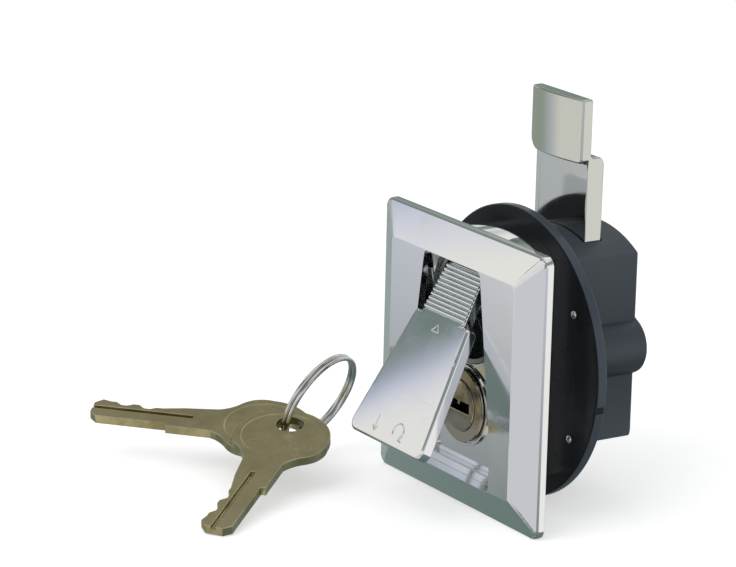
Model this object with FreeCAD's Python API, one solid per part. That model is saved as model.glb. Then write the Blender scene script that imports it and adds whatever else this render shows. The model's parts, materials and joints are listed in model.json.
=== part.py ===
import FreeCAD, Part
import math
import os

# Flush lock for a door or hatch: a square bezel with a lift-and-turn handle and a key
# cylinder, a flange behind the door, and a housing whose sliding bolt the handle pulls in.
# Frame, in millimetres: origin at the centre of the bezel's seat on the door face,
# +X right as seen from the front, +Y into the door, +Z up.
# The rest pose is the handle lifted part way, the bolt out and the cylinder unlocked.

# Bezel casting
BEZEL = 60.0
BEZEL_CORNER = 2.2
RIM_DEPTH = 1.75
FACE_DEPTH = 4.7
BEVEL = 7.0
PLATEAU_CORNER = 0.9
FACE_SHEET = 1.6
SEAT_WIDTH = 5.0
CASTING_WALL = 1.8
FLOOR_SHEET = 1.8

# Opening in the bezel's face and the recess behind it
OPEN_TOP_Z = 22.8
OPEN_TOP_HALF = 10.4
OPEN_KNEE_Z = -13.0
OPEN_KNEE_HALF = 15.9
OPEN_BOTTOM_Z = -23.2
OPEN_CORNER = 1.3
LEDGE_DEPTH = 1.8
LEDGE_WIDTH = 1.9
FLOOR_DEPTH = 0.1

# Barrel through the door and the panel it clamps
BARREL_RADIUS = 27.6
BARREL_Z = 1.3
BARREL_HALF = 14.6
PANEL = 11.2

# Turning hub
HUB_Z = 12.7
CUP_INNER = 11.3
CUP_WALL = 1.05
CUP_FRONT = -0.2
CUP_BOTTOM = 2.6
CUP_LIP = 0.6
CUP_LIP_LENGTH = 1.6
RUNNING = 0.1
END_PLAY = 0.1
JOURNAL_RADIUS = 4.0
SQUARE = 5.0
TURN_AT_REST = 45.0

# Handle, drawn shut and then lifted about its pivot
PIVOT_Y = 3.1
PIVOT_RADIUS = 1.5
PIVOT_CLEAR = 0.05
LIFT_AT_REST = 29.0
HANDLE_SUNK = 0.1
HANDLE_THICK = 2.6
NECK_TOP_Z = 18.2
NECK_TOP_HALF = 6.6
NECK_TOP_CORNER = 1.6
JUNCTION_Z = 6.35
NECK_HALF = 7.7
PLATE_TOP_HALF = 10.0
PLATE_END_GAP = 0.6
PLATE_SIDE_GAP = 1.9
PLATE_CORNER = 2.2
SHOULDER_CORNER = 0.6
HANDLE_EDGE = 0.45
SHOULDER_RELIEF = 0.9
RIM_WIDTH = 1.7
UNDERCUT = 1.0
RIDGES = 12
RIDGE_PITCH = 0.95
RIDGE_START = 0.7
RIDGE_HALF = 0.4
RIDGE_DEPTH = 0.45
LUG_HALF = 4.6
LUG_RADIUS = 3.0
LUG_ROOT = 7.4

# Friction leaf under the handle's lug
LEAF_THICK = 0.4
LEAF_WIDTH = 7.0
LEAF_FOOT = 1.6
LEAF_HALF = 6.9
LEAF_GAP = 0.1

# Lock cylinder
CYLINDER_Z = -8.8
HEAD_RADIUS = 8.0
HEAD_STAND = 1.5
SHELL_RADIUS = 7.5
SHELL_FLAT = 6.7
SHELL_FIT = 0.05
RING_GAP = 0.35
RING_WALL = 0.55
RING_STAND = 0.6
PLUG_RADIUS = 5.6
PLUG_STAND = 0.25
PLUG_END_GAP = 0.6
PLUG_CLEAR = 0.05
KEYWAY_SIDE = 0.5
KEYWAY_CLEAR = 0.1
KEYWAY_REST = 0.35
WAFERS = 5
WAFER_FIRST = 2.0
WAFER_PITCH = 2.6
WAFER_THICK = 1.0
WAFER_END_GAP = 0.65
WAFER_HALF_Z = 2.35
WAFER_FIT = 0.05
TAIL_SQUARE = 4.5
CLIP_GROOVE = 0.6
CLIP_THICK = 0.8
CLIP_LIP = 1.5
CLIP_GAP_HALF_ANGLE = 50.0

# Flange behind the door
FLANGE_RADIUS = 31.3
FLANGE_THICK = 2.4
FLANGE_EDGE = 0.3
NOTCH_Z = -3.7
NOTCH = 1.4
NOTCH_DEPTH = 0.9
GRIP_X = 22.0
GRIP_SPREAD = 13.4
GRIP_RADIUS = 0.85
GRIP_STAND = 0.6

# Housing behind the flange
HOUSING_HALF = 14.0
HOUSING_BOTTOM = -16.8
HOUSING_ARC = 26.3
HOUSING_DEPTH = 19.9
HOUSING_WALL = 2.0
HOUSING_EDGE = 0.8
SCREW_X = 11.8
SCREW_Z = 3.0
SCREW_RADIUS = 1.5
SCREW_CLEAR = 0.1
SCREW_HEAD_RADIUS = 2.75
SCREW_HEAD = 2.6
SCREW_RECESS = 3.2
SCREW_TIP = 3.2
SCREW_BOSS = 3.0
TUNNEL_RADIUS = 6.2
TUNNEL_INNER = 8.9
REAR_RAIL = 1.0
FRONT_RAIL = 1.1
FRONT_RAIL_THICK = 1.9
HEX_ACROSS = 2.5
HEX_DEPTH = 1.4

# Latch bolt
BOLT_BEHIND = 8.7
BOLT_THICK = 4.3
BOLT_HALF = 9.3
TAIL_HALF = 8.4
TAIL_BOTTOM = 3.2
SHOULDER_Z = 20.5
BAR_TOP = 43.8
HEAD_BOTTOM = 42.6
HEAD_TOP = 56.2
HEAD_AHEAD = 1.5
HEAD_BULGE = 1.1
HEAD_THICK = 2.5
HEAD_CORNER = 3.0
BAR_TOP_CORNER = 1.6
BOLT_CLEAR = 0.15

# Crank that pulls the bolt in
CRANK_THROW = 5.4
CRANK_PIN_RADIUS = 1.6
CRANK_PIN_REACH = 4.0
CRANK_HUB = 5.0
CRANK_END = 3.0
CRANK_THICK = 3.3
CRANK_GAP = 0.4
SLOT_CLEAR = 0.25
SLOT_TOP = 24.2
CRANK_SCREW_HEAD = 2.9
CRANK_SCREW_HEAD_THICK = 1.2
CRANK_SCREW_LENGTH = 9.0

# Bolt spring in its window, and the lug it stands on
WINDOW_LEFT = -7.2
WINDOW_RIGHT = -2.4
WINDOW_TOP = 22.0
LUG_TOP_Z = 10.0
LUG_HEIGHT = 2.0
LUG_SIDE_CLEAR = 0.25
SPRING_RADIUS = 1.7
SPRING_WIRE = 0.6
SPRING_TURNS = 5.0

# Locking dog on the plug's tail
DOG_GAP = 0.5
DOG_HUB = 3.9
DOG_HALF = 2.6
DOG_THICK = 2.5
DOG_SWING_CLEAR = 0.35
DOG_SCREW_HEAD = 2.75
DOG_SCREW_HEAD_THICK = 1.7
DOG_SCREW_LENGTH = 7.0

# Keys and their split ring, lying in front of the lock
KEY_THICK = 2.0
KEY_GAP = 0.35
KEY_BLADE = 7.0
KEY_SHANK = 9.0
KEY_STEP = 17.4
KEY_STEP_RUN = 2.6
KEY_BOW_START = 27.3
KEY_BOW_LENGTH = 21.3
KEY_LENGTH = KEY_BOW_START + KEY_BOW_LENGTH
KEY_BOW = 20.8
KEY_FLARE_RUN = 4.1
KEY_FLARE = 15.4
KEY_FLARE_DIP = 0.5
KEY_CROWN_FROM_END = 10.4
KEY_CROWN_RISE = 1.2
KEY_HOLE = 3.0
KEY_HOLE_FROM_END = 5.6
KEY_NOSE = 1.6
KEY_GROOVE_START = -0.3
KEY_GROOVE_WIDTH = 1.0
KEY_GROOVE_DEPTH = 0.8
KEY_GROOVE_END = 22.5
KEY_CUT_START = 3.4
KEY_CUT_LAND = 1.3
KEY_CUTS = (0.5, 1.5, 0.7, 1.9, 1.1)
RING_RADIUS = 10.95
RING_WIRE = 0.5
RING_TURNS = 1.93
RING_PITCH = 1.06
RING_CENTRE = (-33.14, -16.03, -14.63)
RING_AXIS = (0.849, 0.348, -0.399)
KEY_NORMAL = (0.192, -0.143, 0.971)
KEY_LEVEL = (-31.14, -25.88, -18.96)
LEFT_KEY_TIP = (-62.76, -55.47, -19.48)
LEFT_KEY_SHIFT = (-0.85, 0.82, 0.0)
FRONT_KEY_TIP = (-4.89, -57.89, -28.85)
FRONT_KEY_SHIFT = (0.85, 1.1, 0.0)

# Flats that stand for the round of thin wire, and steps in each turn of it
WIRE_FLATS = 8
RING_STEPS = 40
SPRING_STEPS = 16

# Levels and places worked out from the sizes above
SEAT_Y = 0.0
FLANGE_BACK = PANEL + FLANGE_THICK
HOUSING_BACK = FLANGE_BACK + HOUSING_DEPTH
SHELL_END = FLANGE_BACK
HANDLE_FACE = HANDLE_SUNK - FACE_DEPTH
PLATE_END_Z = OPEN_BOTTOM_Z + PLATE_END_GAP
PLATE_END_HALF = OPEN_KNEE_HALF - PLATE_SIDE_GAP
CUP_FLOOR = PANEL - CUP_BOTTOM
CUP_RADIUS = CUP_INNER + CUP_WALL
BORE_RADIUS = CUP_RADIUS + RUNNING
LIP_RADIUS = CUP_RADIUS + CUP_LIP
LIP_FRONT = PANEL - END_PLAY - CUP_LIP_LENGTH
BOLT_FRONT = FLANGE_BACK + BOLT_BEHIND
BOLT_BACK = BOLT_FRONT + BOLT_THICK
HEAD_FRONT = BOLT_FRONT - HEAD_AHEAD
HEAD_BACK = HEAD_FRONT + HEAD_THICK
CRANK_BACK = BOLT_FRONT - CRANK_GAP
CRANK_FRONT = CRANK_BACK - CRANK_THICK
DOG_CENTRE = BOLT_FRONT + BOLT_THICK / 2
DOG_REACH = TAIL_BOTTOM - DOG_GAP - CYLINDER_Z
PLUG_FRONT = -FLOOR_DEPTH - HEAD_STAND - PLUG_STAND
PLUG_END = CRANK_FRONT - PLUG_END_GAP
RING_INNER = HEAD_RADIUS + RING_GAP
RING_OUTER = RING_INNER + RING_WALL
CLIP_RADIUS = SHELL_RADIUS + CLIP_LIP
WAFER_HALF_X = PLUG_RADIUS - WAFER_END_GAP
FLOOR_BACK = FLOOR_SHEET - FLOOR_DEPTH
BOLT_TRAVEL = 2 * CRANK_THROW * math.sin(math.radians(TURN_AT_REST))
PIN_X = CRANK_THROW * math.sin(math.radians(TURN_AT_REST))
PIN_Z = HUB_Z + CRANK_THROW * math.cos(math.radians(TURN_AT_REST))
BIG = 200.0

V = FreeCAD.Vector


def box(x0, x1, y0, y1, z0, z1):
    """A block between two corners."""
    return Part.makeBox(x1 - x0, y1 - y0, z1 - z0, V(x0, y0, z0))


def rod(radius, x, z, y0, y1):
    """A round bar along +Y."""
    return Part.makeCylinder(radius, y1 - y0, V(x, y0, z), V(0, 1, 0))


def fuse(*shapes):
    """One solid of several, without the seams between coplanar faces."""
    whole = shapes[0]
    for shape in shapes[1:]:
        whole = whole.fuse(shape)
    return whole.removeSplitter()


def outline(corners, y):
    """A closed wire in a plane of constant Y: each corner is (x, z, rounding radius)."""
    edges = []
    starts = []
    ends = []
    count = len(corners)
    for i in range(count):
        x, z, radius = corners[i]
        here = V(x, y, z)
        before = V(corners[i - 1][0], y, corners[i - 1][1]) - here
        after = V(corners[(i + 1) % count][0], y, corners[(i + 1) % count][1]) - here
        before.normalize()
        after.normalize()
        if radius == 0:
            starts.append(here)
            ends.append(here)
            continue
        half = before.getAngle(after) / 2
        reach = radius / math.tan(half)
        middle = before + after
        middle.normalize()
        mid = here + middle * (radius / math.sin(half) - radius)
        starts.append(here + before * reach)
        ends.append(here + after * reach)
        edges.append((i, Part.Arc(starts[i], mid, ends[i]).toShape()))
    arcs = dict(edges)
    loop = []
    for i in range(count):
        if i in arcs:
            loop.append(arcs[i])
        loop.append(Part.makeLine(ends[i], starts[(i + 1) % count]))
    return Part.Wire(loop)


def plate(corners, y0, y1):
    """A flat piece of the given outline between two depths."""
    return Part.Face(outline(corners, y0)).extrude(V(0, y1 - y0, 0))


def square_outline(half, radius, y):
    """A rounded square about the origin."""
    places = ((-half, -half), (-half, half), (half, half), (half, -half))
    return outline([(x, z, radius) for x, z in places], y)


def opening_corners(inset):
    """The outline of the handle's opening, moved inwards by inset."""
    corner = max(OPEN_CORNER - inset / 2, 0.4)
    return [
        (-OPEN_KNEE_HALF + inset, OPEN_BOTTOM_Z + inset, corner),
        (-OPEN_KNEE_HALF + inset, OPEN_KNEE_Z, 12.0),
        (-OPEN_TOP_HALF + inset, OPEN_TOP_Z - inset, corner),
        (OPEN_TOP_HALF - inset, OPEN_TOP_Z - inset, corner),
        (OPEN_KNEE_HALF - inset, OPEN_KNEE_Z, 12.0),
        (OPEN_KNEE_HALF - inset, OPEN_BOTTOM_Z + inset, corner),
    ]


def barrel(inset, y0, y1):
    """The round barrel with its two flats, or its inside when inset."""
    half = BARREL_HALF - inset
    round_bar = rod(BARREL_RADIUS - inset, 0, BARREL_Z, y0, y1)
    return round_bar.common(box(-half, half, y0, y1, -BIG, BIG))


def shell_profile(extra, y0, y1):
    """The lock cylinder's round body with its two flats."""
    half = SHELL_FLAT + extra
    body = rod(SHELL_RADIUS + extra, 0, CYLINDER_Z, y0, y1)
    return body.common(box(-half, half, y0, y1, -BIG, BIG))


def make_bezel():
    """Square bezel, recess, barrel, hub bore and screw bosses, cast in one."""
    half = BEZEL / 2
    rim = Part.Face(square_outline(half, BEZEL_CORNER, -RIM_DEPTH)).extrude(V(0, RIM_DEPTH, 0))
    wires = [
        square_outline(half, BEZEL_CORNER, -RIM_DEPTH),
        square_outline(half - BEVEL, PLATEAU_CORNER, -FACE_DEPTH),
    ]
    body = rim.fuse(Part.makeLoft(wires, True, True))
    core = half - SEAT_WIDTH
    pocket = box(-core, core, -FACE_DEPTH + FACE_SHEET, SEAT_Y, -core, core)
    keep = barrel(0, -FACE_DEPTH, SEAT_Y)
    keep = keep.fuse(plate(opening_corners(-FACE_SHEET), -FACE_DEPTH, SEAT_Y))
    body = body.cut(pocket.cut(keep))
    body = body.fuse(barrel(0, SEAT_Y - FLOOR_DEPTH, PANEL))
    inside = barrel(CASTING_WALL, FLOOR_BACK, PANEL)
    inside = inside.cut(rod(BORE_RADIUS + CASTING_WALL, 0, HUB_Z, FLOOR_BACK, PANEL))
    for side in (-1, 1):
        inside = inside.cut(rod(SCREW_BOSS, side * SCREW_X, SCREW_Z, FLOOR_BACK, PANEL))
    body = body.cut(inside)
    body = body.cut(plate(opening_corners(0), -FACE_DEPTH - 1, -LEDGE_DEPTH))
    deep = plate(opening_corners(LEDGE_WIDTH), -LEDGE_DEPTH - 0.5, -FLOOR_DEPTH)
    limit = BARREL_HALF - CASTING_WALL
    deep = deep.common(box(-limit, limit, -BIG, BIG, -BIG, BIG))
    body = body.cut(deep)
    well = rod(BORE_RADIUS, 0, HUB_Z, -FACE_DEPTH + FACE_SHEET, PANEL)
    well = well.fuse(rod(LIP_RADIUS + RUNNING, 0, HUB_Z, LIP_FRONT - END_PLAY, PANEL))
    body = body.cut(well)
    ring = rod(RING_OUTER, 0, CYLINDER_Z, -FLOOR_DEPTH - RING_STAND, -FLOOR_DEPTH)
    ring = ring.cut(rod(RING_INNER, 0, CYLINDER_Z, -FLOOR_DEPTH - RING_STAND, -FLOOR_DEPTH))
    body = body.fuse(ring)
    body = body.cut(shell_profile(SHELL_FIT, -FLOOR_DEPTH, PANEL))
    for side in (-1, 1):
        body = body.cut(rod(SCREW_RADIUS, side * SCREW_X, SCREW_Z, SCREW_TIP, PANEL))
    return body.removeSplitter()


def make_hub():
    """Cup that carries the handle, with its lip, journal and square end."""
    length_end = PANEL - END_PLAY
    cup = rod(CUP_RADIUS, 0, HUB_Z, CUP_FRONT, length_end)
    cup = cup.fuse(rod(LIP_RADIUS, 0, HUB_Z, LIP_FRONT, length_end))
    cup = cup.cut(rod(CUP_INNER, 0, HUB_Z, CUP_FRONT, CUP_FLOOR))
    cup = cup.fuse(rod(JOURNAL_RADIUS, 0, HUB_Z, length_end, CRANK_FRONT))
    square = box(-SQUARE / 2, SQUARE / 2, CRANK_FRONT, crank_seat(), -SQUARE / 2, SQUARE / 2)
    square.rotate(V(0, 0, 0), V(0, 1, 0), TURN_AT_REST)
    square.translate(V(0, 0, HUB_Z))
    cup = cup.fuse(square)
    tap = rod(SCREW_RADIUS, 0, HUB_Z, crank_seat() - CRANK_SCREW_LENGTH, crank_seat())
    cup = cup.cut(tap)
    pin = Part.makeCylinder(PIVOT_RADIUS, 2 * BIG, V(-BIG, PIVOT_Y, HUB_Z), V(1, 0, 0))
    return cup.cut(pin).removeSplitter()


def crank_seat():
    """Depth of the face that the crank screw's head bears on."""
    return CRANK_BACK - CRANK_SCREW_HEAD_THICK - END_PLAY


def make_pivot_pin():
    """Cross pin held in the cup's two walls."""
    length = 2 * math.sqrt(CUP_RADIUS ** 2 - PIVOT_RADIUS ** 2)
    start = V(-length / 2, PIVOT_Y, HUB_Z)
    return Part.makeCylinder(PIVOT_RADIUS, length, start, V(1, 0, 0))


def handle_outline(inset):
    """Outline of the handle's face, drawn shut."""
    return [
        (-PLATE_END_HALF + inset, PLATE_END_Z + inset, PLATE_CORNER - inset / 2),
        (-PLATE_TOP_HALF + inset, JUNCTION_Z - inset, SHOULDER_CORNER),
        (-NECK_HALF + inset, JUNCTION_Z - inset, 0),
        (-NECK_TOP_HALF + inset, NECK_TOP_Z - inset, NECK_TOP_CORNER),
        (NECK_TOP_HALF - inset, NECK_TOP_Z - inset, NECK_TOP_CORNER),
        (NECK_HALF - inset, JUNCTION_Z - inset, 0),
        (PLATE_TOP_HALF - inset, JUNCTION_Z - inset, SHOULDER_CORNER),
        (PLATE_END_HALF - inset, PLATE_END_Z + inset, PLATE_CORNER - inset / 2),
    ]


def make_handle():
    """Handle plate, ridged neck and pivot lug, lifted to the rest angle."""
    back = HANDLE_FACE + HANDLE_THICK
    slab = plate(handle_outline(0), HANDLE_FACE + HANDLE_EDGE, back)
    wires = [
        outline(handle_outline(HANDLE_EDGE), HANDLE_FACE),
        outline(handle_outline(0), HANDLE_FACE + HANDLE_EDGE),
    ]
    body = slab.fuse(Part.makeLoft(wires, True, True))
    hollow = [
        (-PLATE_END_HALF + RIM_WIDTH, PLATE_END_Z + RIM_WIDTH, PLATE_CORNER / 2),
        (-PLATE_TOP_HALF + RIM_WIDTH, JUNCTION_Z - 2 * RIM_WIDTH, SHOULDER_CORNER),
        (PLATE_TOP_HALF - RIM_WIDTH, JUNCTION_Z - 2 * RIM_WIDTH, SHOULDER_CORNER),
        (PLATE_END_HALF - RIM_WIDTH, PLATE_END_Z + RIM_WIDTH, PLATE_CORNER / 2),
    ]
    body = body.cut(plate(hollow, back - UNDERCUT, back + 1))
    for i in range(RIDGES):
        z = JUNCTION_Z + RIDGE_START + RIDGE_PITCH * i
        w = RIDGE_HALF
        corners = [
            V(-BIG, HANDLE_FACE - 0.1, z - w),
            V(-BIG, HANDLE_FACE + RIDGE_DEPTH, z),
            V(-BIG, HANDLE_FACE - 0.1, z + w),
            V(-BIG, HANDLE_FACE - 0.1, z - w),
        ]
        body = body.cut(Part.Face(Part.makePolygon(corners)).extrude(V(2 * BIG, 0, 0)))
    relief = [
        V(-BIG, back + 0.1, JUNCTION_Z - SHOULDER_RELIEF),
        V(-BIG, back - SHOULDER_RELIEF, JUNCTION_Z + 0.1),
        V(-BIG, back + 0.1, JUNCTION_Z + 0.1),
        V(-BIG, back + 0.1, JUNCTION_Z - SHOULDER_RELIEF),
    ]
    wedge = Part.Face(Part.makePolygon(relief)).extrude(V(2 * BIG, 0, 0))
    body = body.cut(wedge.cut(box(-NECK_HALF, NECK_HALF, -BIG, BIG, -BIG, BIG)))
    root = LUG_ROOT / 2
    web = Part.Wire([
        Part.makeLine(V(-LUG_HALF, back, HUB_Z - root), V(-LUG_HALF, PIVOT_Y, HUB_Z - LUG_RADIUS)),
        Part.Arc(
            V(-LUG_HALF, PIVOT_Y, HUB_Z - LUG_RADIUS),
            V(-LUG_HALF, PIVOT_Y + LUG_RADIUS, HUB_Z),
            V(-LUG_HALF, PIVOT_Y, HUB_Z + LUG_RADIUS),
        ).toShape(),
        Part.makeLine(V(-LUG_HALF, PIVOT_Y, HUB_Z + LUG_RADIUS), V(-LUG_HALF, back, HUB_Z + root)),
        Part.makeLine(V(-LUG_HALF, back, HUB_Z + root), V(-LUG_HALF, back, HUB_Z - root)),
    ])
    body = body.fuse(Part.Face(web).extrude(V(2 * LUG_HALF, 0, 0)))
    hole = Part.makeCylinder(
        PIVOT_RADIUS + PIVOT_CLEAR, 2 * BIG, V(-BIG, PIVOT_Y, HUB_Z), V(1, 0, 0)
    )
    body = body.cut(hole).removeSplitter()
    body.rotate(V(0, PIVOT_Y, HUB_Z), V(-1, 0, 0), LIFT_AT_REST)
    return body


def make_leaf():
    """Bent spring leaf that drags on the lug, so that the handle stays where it is put."""
    foot_y = CUP_FLOOR - LEAF_THICK
    crown_y = PIVOT_Y + LUG_RADIUS + LEAF_GAP
    rise = LEAF_HALF - LEAF_FOOT
    x = -LEAF_WIDTH / 2
    outer = [
        V(x, foot_y, HUB_Z - LEAF_HALF),
        V(x, foot_y, HUB_Z - rise),
        V(x, crown_y, HUB_Z),
        V(x, foot_y, HUB_Z + rise),
        V(x, foot_y, HUB_Z + LEAF_HALF),
    ]
    inner = [point + V(0, LEAF_THICK, 0) for point in outer]
    edges = [
        Part.makeLine(outer[0], outer[1]),
        Part.Arc(outer[1], outer[2], outer[3]).toShape(),
        Part.makeLine(outer[3], outer[4]),
        Part.makeLine(outer[4], inner[4]),
        Part.makeLine(inner[4], inner[3]),
        Part.Arc(inner[3], inner[2], inner[1]).toShape(),
        Part.makeLine(inner[1], inner[0]),
        Part.makeLine(inner[0], outer[0]),
    ]
    return Part.Face(Part.Wire(edges)).extrude(V(LEAF_WIDTH, 0, 0))


def make_cylinder_shell():
    """Body of the lock cylinder, with its round head, flats, plug bore and clip groove."""
    head = rod(HEAD_RADIUS, 0, CYLINDER_Z, -FLOOR_DEPTH - HEAD_STAND, -FLOOR_DEPTH)
    shell = head.fuse(shell_profile(0, -FLOOR_DEPTH, SHELL_END))
    ring = rod(SHELL_RADIUS + 1, 0, CYLINDER_Z, FLOOR_BACK, FLOOR_BACK + CLIP_THICK)
    ring = ring.cut(rod(SHELL_RADIUS - CLIP_GROOVE, 0, CYLINDER_Z, 0, SHELL_END))
    shell = shell.cut(ring)
    bore = rod(PLUG_RADIUS + PLUG_CLEAR, 0, CYLINDER_Z, -FACE_DEPTH, SHELL_END)
    shell = shell.cut(bore)
    return shell.removeSplitter()


def make_clip():
    """Open spring clip that holds the cylinder against the recess floor."""
    back = FLOOR_BACK + CLIP_THICK
    clip = rod(CLIP_RADIUS, 0, CYLINDER_Z, FLOOR_BACK, back)
    clip = clip.cut(rod(SHELL_RADIUS - CLIP_GROOVE, 0, CYLINDER_Z, FLOOR_BACK, back))
    spread = math.radians(CLIP_GAP_HALF_ANGLE)
    reach = 2 * CLIP_RADIUS
    gap = Part.makePolygon([
        V(0, FLOOR_BACK, CYLINDER_Z),
        V(-reach * math.sin(spread), FLOOR_BACK, CYLINDER_Z + reach * math.cos(spread)),
        V(reach * math.sin(spread), FLOOR_BACK, CYLINDER_Z + reach * math.cos(spread)),
        V(0, FLOOR_BACK, CYLINDER_Z),
    ])
    return clip.cut(Part.Face(gap).extrude(V(0, CLIP_THICK, 0)))


def wafer_depth(i):
    """Depth of one wafer's front face."""
    return WAFER_FIRST + i * WAFER_PITCH


def keyway(y0, y1, extra):
    """The key slot's section: room for the blade, with a ward that fits the blade's groove."""
    half = KEY_BLADE / 2 + KEYWAY_SIDE + extra
    thin = KEY_THICK / 2 + KEYWAY_CLEAR + extra
    slot = box(-half, half, y0, y1, CYLINDER_Z - thin, CYLINDER_Z + thin)
    left = KEY_GROOVE_START + KEYWAY_CLEAR + extra
    right = KEY_GROOVE_START + KEY_GROOVE_WIDTH - KEYWAY_CLEAR - extra
    tip = CYLINDER_Z + KEY_THICK / 2 - KEY_GROOVE_DEPTH + KEYWAY_CLEAR + extra
    return slot.cut(box(left, right, y0, y1, tip, CYLINDER_Z + thin))


def make_plug():
    """Turning plug with its keyway, wafer slots and square tail."""
    plug = rod(PLUG_RADIUS, 0, CYLINDER_Z, PLUG_FRONT, PLUG_END)
    tail = TAIL_SQUARE / 2
    tail_end = DOG_CENTRE + DOG_THICK / 2
    plug = plug.fuse(box(-tail, tail, PLUG_END, tail_end, CYLINDER_Z - tail, CYLINDER_Z + tail))
    plug = plug.cut(keyway(PLUG_FRONT, PLUG_FRONT + KEY_STEP + KEYWAY_REST, 0))
    half = WAFER_HALF_Z + WAFER_FIT
    for i in range(WAFERS):
        y0 = wafer_depth(i) - WAFER_FIT
        y1 = wafer_depth(i) + WAFER_THICK + WAFER_FIT
        plug = plug.cut(box(-BIG, BIG, y0, y1, CYLINDER_Z - half, CYLINDER_Z + half))
    plug = plug.cut(rod(SCREW_RADIUS, 0, CYLINDER_Z, tail_end - DOG_SCREW_LENGTH, tail_end))
    return plug.removeSplitter()


def make_wafers():
    """The sprung plates that the key lines up, one solid each."""
    wafers = []
    for i in range(WAFERS):
        y0 = wafer_depth(i)
        y1 = y0 + WAFER_THICK
        low = CYLINDER_Z - WAFER_HALF_Z
        high = CYLINDER_Z + WAFER_HALF_Z
        leaf = box(-WAFER_HALF_X, WAFER_HALF_X, y0, y1, low, high)
        wafers.append(leaf.cut(keyway(y0, y1, WAFER_FIT)))
    return Part.makeCompound(wafers)


def make_dog():
    """Locking dog: its arm points right when unlocked and up under the bolt when locked."""
    y0 = DOG_CENTRE - DOG_THICK / 2
    y1 = DOG_CENTRE + DOG_THICK / 2
    hub = rod(DOG_HUB, 0, CYLINDER_Z, y0, y1)
    arm = box(0, DOG_REACH, y0, y1, CYLINDER_Z - DOG_HALF, CYLINDER_Z + DOG_HALF)
    arm = arm.common(rod(DOG_REACH, 0, CYLINDER_Z, y0, y1))
    tail = TAIL_SQUARE / 2
    hole = box(-tail, tail, y0, y1, CYLINDER_Z - tail, CYLINDER_Z + tail)
    return hub.fuse(arm).cut(hole).removeSplitter()


def socket_screw(x, z, head_y, head_radius, head_thick, length):
    """A cap screw along Y whose head faces +Y, with a hexagon socket."""
    screw = rod(head_radius, x, z, head_y, head_y + head_thick)
    screw = screw.fuse(rod(SCREW_RADIUS, x, z, head_y - length, head_y))
    across = HEX_ACROSS / math.sqrt(3)
    depth = min(HEX_DEPTH, 0.6 * head_thick)
    points = []
    for i in range(7):
        angle = math.radians(60 * i)
        points.append(V(
            x + across * math.cos(angle),
            head_y + head_thick - depth,
            z + across * math.sin(angle),
        ))
    socket = Part.Face(Part.makePolygon(points)).extrude(V(0, depth, 0))
    return screw.cut(socket).removeSplitter()


def make_dog_screw():
    """Screw that holds the dog on the plug's tail."""
    head_y = DOG_CENTRE + DOG_THICK / 2
    return socket_screw(
        0, CYLINDER_Z, head_y, DOG_SCREW_HEAD, DOG_SCREW_HEAD_THICK, DOG_SCREW_LENGTH
    )


def make_flange():
    """Round flange that pulls against the back of the door."""
    disc = rod(FLANGE_RADIUS, 0, BARREL_Z, PANEL, FLANGE_BACK)
    rims = [edge for edge in disc.Edges if edge.Curve.TypeId == "Part::GeomCircle"]
    disc = disc.makeChamfer(FLANGE_EDGE, rims)
    disc = disc.cut(rod(JOURNAL_RADIUS + RUNNING, 0, HUB_Z, PANEL, FLANGE_BACK))
    disc = disc.cut(shell_profile(SHELL_FIT, PANEL, FLANGE_BACK))
    for side in (-1, 1):
        hole = rod(SCREW_RADIUS + SCREW_CLEAR, side * SCREW_X, SCREW_Z, PANEL, FLANGE_BACK)
        disc = disc.cut(hole)
        edge_x = side * (FLANGE_RADIUS - NOTCH_DEPTH)
        far_x = side * (FLANGE_RADIUS + 1)
        x0 = min(edge_x, far_x)
        x1 = max(edge_x, far_x)
        disc = disc.cut(box(x0, x1, PANEL, FLANGE_BACK, NOTCH_Z - NOTCH / 2, NOTCH_Z + NOTCH / 2))
        for up in (-1, 1):
            z = BARREL_Z + up * GRIP_SPREAD
            disc = disc.cut(rod(GRIP_RADIUS, side * GRIP_X, z, PANEL, FLANGE_BACK))
    return disc.removeSplitter()


def make_grip_pins():
    """Four pins pressed into the flange, whose domed ends bite into the door."""
    pins = []
    for side in (-1, 1):
        for up in (-1, 1):
            x = side * GRIP_X
            z = BARREL_Z + up * GRIP_SPREAD
            pin = rod(GRIP_RADIUS, x, z, PANEL - GRIP_STAND / 3, FLANGE_BACK)
            dome = Part.makeCone(
                GRIP_RADIUS, GRIP_RADIUS / 3, GRIP_STAND * 2 / 3,
                V(x, PANEL - GRIP_STAND / 3, z), V(0, -1, 0),
            )
            pins.append(pin.fuse(dome).removeSplitter())
    return Part.makeCompound(pins)


def housing_outline(inset, y0, y1):
    """The housing's section: flat sides under an arc that follows the flange."""
    half = HOUSING_HALF - inset
    bottom = HOUSING_BOTTOM + inset
    body = box(-half, half, y0, y1, bottom, BIG)
    disc = rod(HOUSING_ARC - inset, 0, BARREL_Z, y0, y1)
    low = box(-half, half, y0, y1, bottom, BARREL_Z)
    return body.common(disc.fuse(low)).removeSplitter()


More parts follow.
